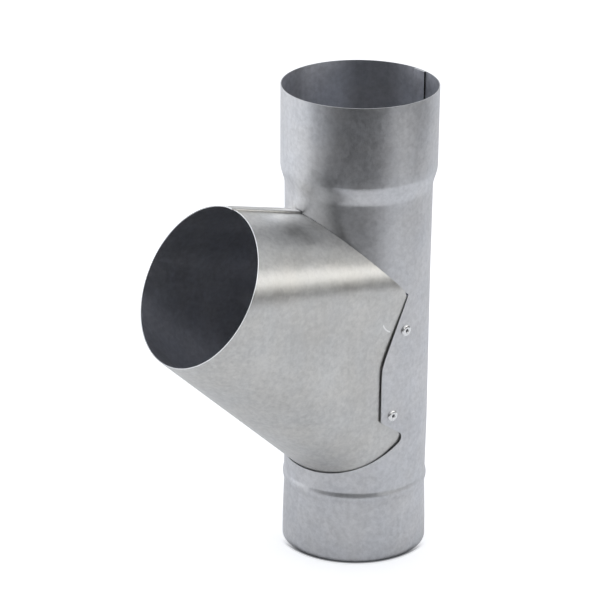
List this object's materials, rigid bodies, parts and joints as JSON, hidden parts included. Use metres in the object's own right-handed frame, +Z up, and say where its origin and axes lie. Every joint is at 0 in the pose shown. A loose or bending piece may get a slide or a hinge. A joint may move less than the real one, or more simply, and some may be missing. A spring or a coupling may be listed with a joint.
{
  "type": "downpipe branch",
  "caption": "Galvanised sheet downpipe branch: a round pipe with a socket above, a beaded spigot below and a slanted round inlet riveted into its side.",
  "frame": {"origin": "on the main pipe's axis, at the lower end of its spigot", "axes": "+Z up the main pipe's axis from spigot to socket, the branch leaves upwards towards -X, Y is across"},
  "size_m": [0.2076, 0.1104, 0.324],
  "materials": {
    "galvanised_sheet": "hot-dip galvanised steel sheet, slightly mottled, smooth",
    "rivet_body": "plain aluminium blind rivet",
    "rivet_mandrel": "dark plated steel, broken off"
  },
  "bodies": {
    "root": {"main_pipe": "galvanised_sheet", "branch_pipe": "galvanised_sheet", "rivet_right_upper": "rivet_body", "rivet_right_lower": "rivet_body", "rivet_left_upper": "rivet_body", "rivet_left_lower": "rivet_body", "mandrel_right_upper": "rivet_mandrel", "mandrel_right_lower": "rivet_mandrel", "mandrel_left_upper": "rivet_mandrel", "mandrel_left_lower": "rivet_mandrel"}
  },
  "joints": []
}
